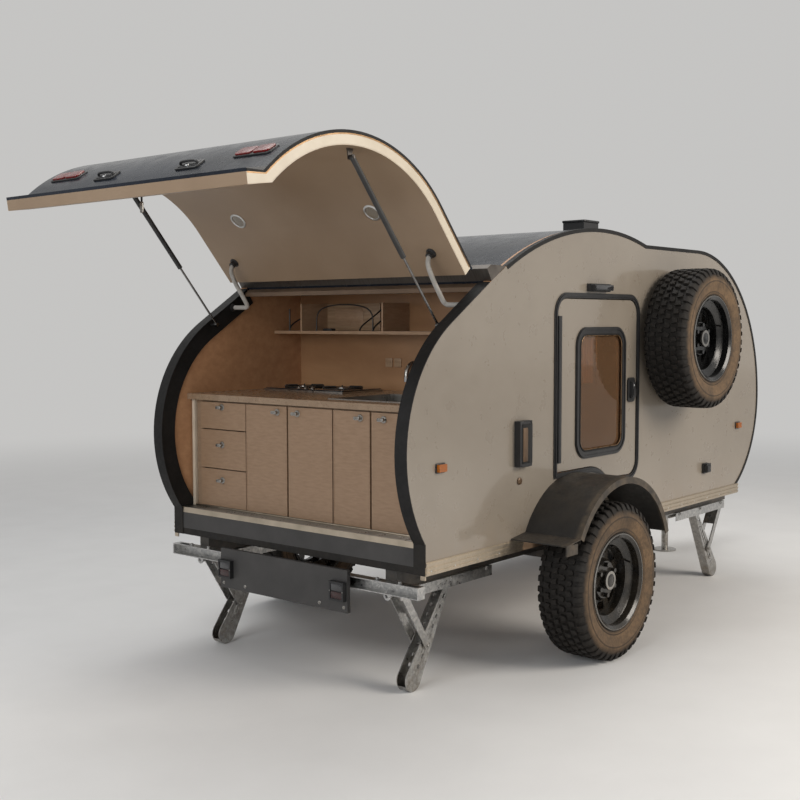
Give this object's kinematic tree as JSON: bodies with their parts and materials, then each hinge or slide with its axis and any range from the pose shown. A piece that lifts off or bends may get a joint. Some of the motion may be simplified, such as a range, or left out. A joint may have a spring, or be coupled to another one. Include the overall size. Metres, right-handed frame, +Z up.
{
  "type": "teardrop trailer",
  "caption": "Off-road teardrop trailer with a rear galley under a tall lifting hatch, side doors, a spare wheel and corner steadies.",
  "frame": {"origin": "on the ground under the middle of the whole length and width, with the hatch open as it is stored", "axes": "+X forward to the coupler, +Y to the trailer's left, +Z up"},
  "size_m": [5.11, 2.1, 2.2339],
  "materials": {
    "body_paint": "gloss, pale grey",
    "roof_black": "gloss, near black",
    "plywood": "satin",
    "beige_board": "satin laminate",
    "worktop_grey": "satin",
    "steel_sink": "brushed",
    "black_trim": "satin black",
    "rubber_seal": "matte",
    "bare_aluminium": "satin",
    "galvanised": "zinc",
    "frame_black": "satin black",
    "tinted_glass": "brown tint",
    "amber_lens": "gloss",
    "tyre": "dusty",
    "rim_black": "gloss black",
    "fabric_pad": "woven",
    "grey_panel": "satin grey",
    "hose_grey": "satin grey"
  },
  "bodies": {
    "trailer": {"side_wall_right": "body_paint", "side_wall_left": "body_paint", "door_frames": "black_trim", "floor": "plywood", "roof": "roof_black", "bulkhead": "plywood", "aluminium_trims": "bare_aluminium", "galley_carcass": "beige_board", "worktop": "worktop_grey", "sink_and_hob": "steel_sink", "galley_shelf": "plywood", "hinge_rail": "bare_aluminium", "edge_seals": "rubber_seal", "conduits": "hose_grey", "chassis_frame": "frame_black", "coupler": "galvanised", "jack_tube": "galvanised", "axle": "frame_black", "spare_tyre": "tyre", "spare_rim": "rim_black", "spare_bracket": "black_trim", "wings": "black_trim", "steady_channels": "galvanised", "rear_panels": "grey_panel", "lamps": "amber_lens", "body_fittings": "black_trim", "mattress": "fabric_pad"},
    "hatch": {"hatch_shell": "roof_black", "hatch_liner": "beige_board", "hatch_hinges": "bare_aluminium"},
    "strut_tube_right_body": {"strut_tube_right": "frame_black"},
    "strut_rod_right_body": {"strut_rod_right": "galvanised"},
    "door_right_body": {"door_right": "body_paint", "door_trim_right": "black_trim", "door_glass_right": "tinted_glass"},
    "wheel_right": {"tyre_right": "tyre", "rim_right": "rim_black"},
    "strut_tube_left_body": {"strut_tube_left": "frame_black"},
    "strut_rod_left_body": {"strut_rod_left": "galvanised"},
    "door_left_body": {"door_left": "body_paint", "door_trim_left": "black_trim", "door_glass_left": "tinted_glass"},
    "wheel_left": {"tyre_left": "tyre", "rim_left": "rim_black"},
    "brace_rear_right": {"steady_brace_rear_right": "galvanised"},
    "leg_rear_right": {"steady_leg_rear_right": "galvanised"},
    "brace_rear_left": {"steady_brace_rear_left": "galvanised"},
    "leg_rear_left": {"steady_leg_rear_left": "galvanised"},
    "brace_front_right": {"steady_brace_front_right": "galvanised"},
    "leg_front_right": {"steady_leg_front_right": "galvanised"},
    "brace_front_left": {"steady_brace_front_left": "galvanised"},
    "leg_front_left": {"steady_leg_front_left": "galvanised"},
    "jack_slider": {"jack_leg": "galvanised"},
    "drawer_top_body": {"drawer_top": "beige_board"},
    "drawer_middle_body": {"drawer_middle": "beige_board"},
    "drawer_bottom_body": {"drawer_bottom": "beige_board"},
    "cabinet_door_1_body": {"cabinet_door_1": "beige_board"},
    "cabinet_door_2_body": {"cabinet_door_2": "beige_board"},
    "cabinet_door_3_body": {"cabinet_door_3": "beige_board"},
    "cabinet_door_4_body": {"cabinet_door_4": "beige_board"}
  },
  "joints": [
    {"name": "hatch_hinge", "type": "hinge", "parent": "trailer", "child": "hatch", "pos_m": [-1.27409, 0, 1.7701], "axis": [0, 1, 0], "range_deg": [-82, 0], "deforming": ["conduits"]},
    {"name": "strut_right_hinge", "type": "hinge", "parent": "hatch", "child": "strut_tube_right_body", "pos_m": [-1.98402, -0.675, 2.14302], "axis": [0, 1, 0], "range_deg": [-24.7, 0.5]},
    {"name": "strut_right_slide", "type": "slide", "parent": "strut_tube_right_body", "child": "strut_rod_right_body", "axis": [0.6383, 0, -0.7698], "range_m": [-0.3219, 0.002]},
    {"name": "strut_left_hinge", "type": "hinge", "parent": "hatch", "child": "strut_tube_left_body", "pos_m": [-1.98402, 0.675, 2.14302], "axis": [0, 1, 0], "range_deg": [-24.7, 0.5]},
    {"name": "strut_left_slide", "type": "slide", "parent": "strut_tube_left_body", "child": "strut_rod_left_body", "axis": [0.6383, 0, -0.7698], "range_m": [-0.3219, 0.002]},
    {"name": "door_right_hinge", "type": "hinge", "parent": "trailer", "child": "door_right_body", "pos_m": [-0.70952, -0.7805, 1.2], "axis": [0, 0, -1], "range_deg": [0, 90]},
    {"name": "wheel_right_spin", "type": "hinge", "parent": "trailer", "child": "wheel_right", "pos_m": [-0.59402, -0.927, 0.36], "axis": [0, 1, 0], "continuous": true},
    {"name": "door_left_hinge", "type": "hinge", "parent": "trailer", "child": "door_left_body", "pos_m": [-0.70952, 0.7805, 1.2], "axis": [0, 0, 1], "range_deg": [0, 90]},
    {"name": "wheel_left_spin", "type": "hinge", "parent": "trailer", "child": "wheel_left", "pos_m": [-0.59402, 0.927, 0.36], "axis": [0, 1, 0], "continuous": true},
    {"name": "steady_rear_right_brace", "type": "hinge", "parent": "trailer", "child": "brace_rear_right", "pos_m": [-1.61102, -0.575, 0.425], "axis": [0, -1, 0], "range_deg": [0, 49.55]},
    {"name": "steady_rear_right_leg", "type": "hinge", "parent": "brace_rear_right", "child": "leg_rear_right", "pos_m": [-1.45542, -0.575, 0.18028], "axis": [0, -1, 0], "range_deg": [-99.6, 0.5]},
    {"name": "steady_rear_left_brace", "type": "hinge", "parent": "trailer", "child": "brace_rear_left", "pos_m": [-1.61102, 0.575, 0.425], "axis": [0, -1, 0], "range_deg": [0, 49.55]},
    {"name": "steady_rear_left_leg", "type": "hinge", "parent": "brace_rear_left", "child": "leg_rear_left", "pos_m": [-1.45542, 0.575, 0.18028], "axis": [0, -1, 0], "range_deg": [-99.6, 0.5]},
    {"name": "steady_front_right_brace", "type": "hinge", "parent": "trailer", "child": "brace_front_right", "pos_m": [1.39598, -0.575, 0.425], "axis": [0, 1, 0], "range_deg": [0, 49.55]},
    {"name": "steady_front_right_leg", "type": "hinge", "parent": "brace_front_right", "child": "leg_front_right", "pos_m": [1.24037, -0.575, 0.18028], "axis": [0, 1, 0], "range_deg": [-99.6, 0.5]},
    {"name": "steady_front_left_brace", "type": "hinge", "parent": "trailer", "child": "brace_front_left", "pos_m": [1.39598, 0.575, 0.425], "axis": [0, 1, 0], "range_deg": [0, 49.55]},
    {"name": "steady_front_left_leg", "type": "hinge", "parent": "brace_front_left", "child": "leg_front_left", "pos_m": [1.24037, 0.575, 0.18028], "axis": [0, 1, 0], "range_deg": [-99.6, 0.5]},
    {"name": "jack_slide", "type": "slide", "parent": "trailer", "child": "jack_slider", "axis": [0, 0, 1], "range_m": [0, 0.2]},
    {"name": "drawer_top_slide", "type": "slide", "parent": "trailer", "child": "drawer_top_body", "axis": [-1, 0, 0], "range_m": [0, 0.32]},
    {"name": "drawer_middle_slide", "type": "slide", "parent": "trailer", "child": "drawer_middle_body", "axis": [-1, 0, 0], "range_m": [0, 0.32]},
    {"name": "drawer_bottom_slide", "type": "slide", "parent": "trailer", "child": "drawer_bottom_body", "axis": [-1, 0, 0], "range_m": [0, 0.32]},
    {"name": "cabinet_door_1_hinge", "type": "hinge", "parent": "trailer", "child": "cabinet_door_1_body", "pos_m": [-1.59402, 0.3375, 0.9], "axis": [0, 0, -1], "range_deg": [0, 90]},
    {"name": "cabinet_door_2_hinge", "type": "hinge", "parent": "trailer", "child": "cabinet_door_2_body", "pos_m": [-1.59402, -0.1975, 0.9], "axis": [0, 0, 1], "range_deg": [0, 90]},
    {"name": "cabinet_door_3_hinge", "type": "hinge", "parent": "trailer", "child": "cabinet_door_3_body", "pos_m": [-1.59402, -0.2075, 0.9], "axis": [0, 0, -1], "range_deg": [0, 90]},
    {"name": "cabinet_door_4_hinge", "type": "hinge", "parent": "trailer", "child": "cabinet_door_4_body", "pos_m": [-1.59402, -0.6375, 0.9], "axis": [0, 0, 1], "range_deg": [0, 90]}
  ],
  "couplings": [
    {"joint": "strut_right_hinge", "follows": "hatch_hinge", "ratio": 0.29517},
    {"joint": "strut_right_slide", "follows": "hatch_hinge", "m_per_rad": 0.22353},
    {"joint": "strut_left_hinge", "follows": "hatch_hinge", "ratio": 0.29517},
    {"joint": "strut_left_slide", "follows": "hatch_hinge", "m_per_rad": 0.22353},
    {"joint": "steady_rear_right_leg", "follows": "steady_rear_right_brace", "ratio": -2},
    {"joint": "steady_rear_left_leg", "follows": "steady_rear_left_brace", "ratio": -2},
    {"joint": "steady_front_right_leg", "follows": "steady_front_right_brace", "ratio": -2},
    {"joint": "steady_front_left_leg", "follows": "steady_front_left_brace", "ratio": -2}
  ]
}
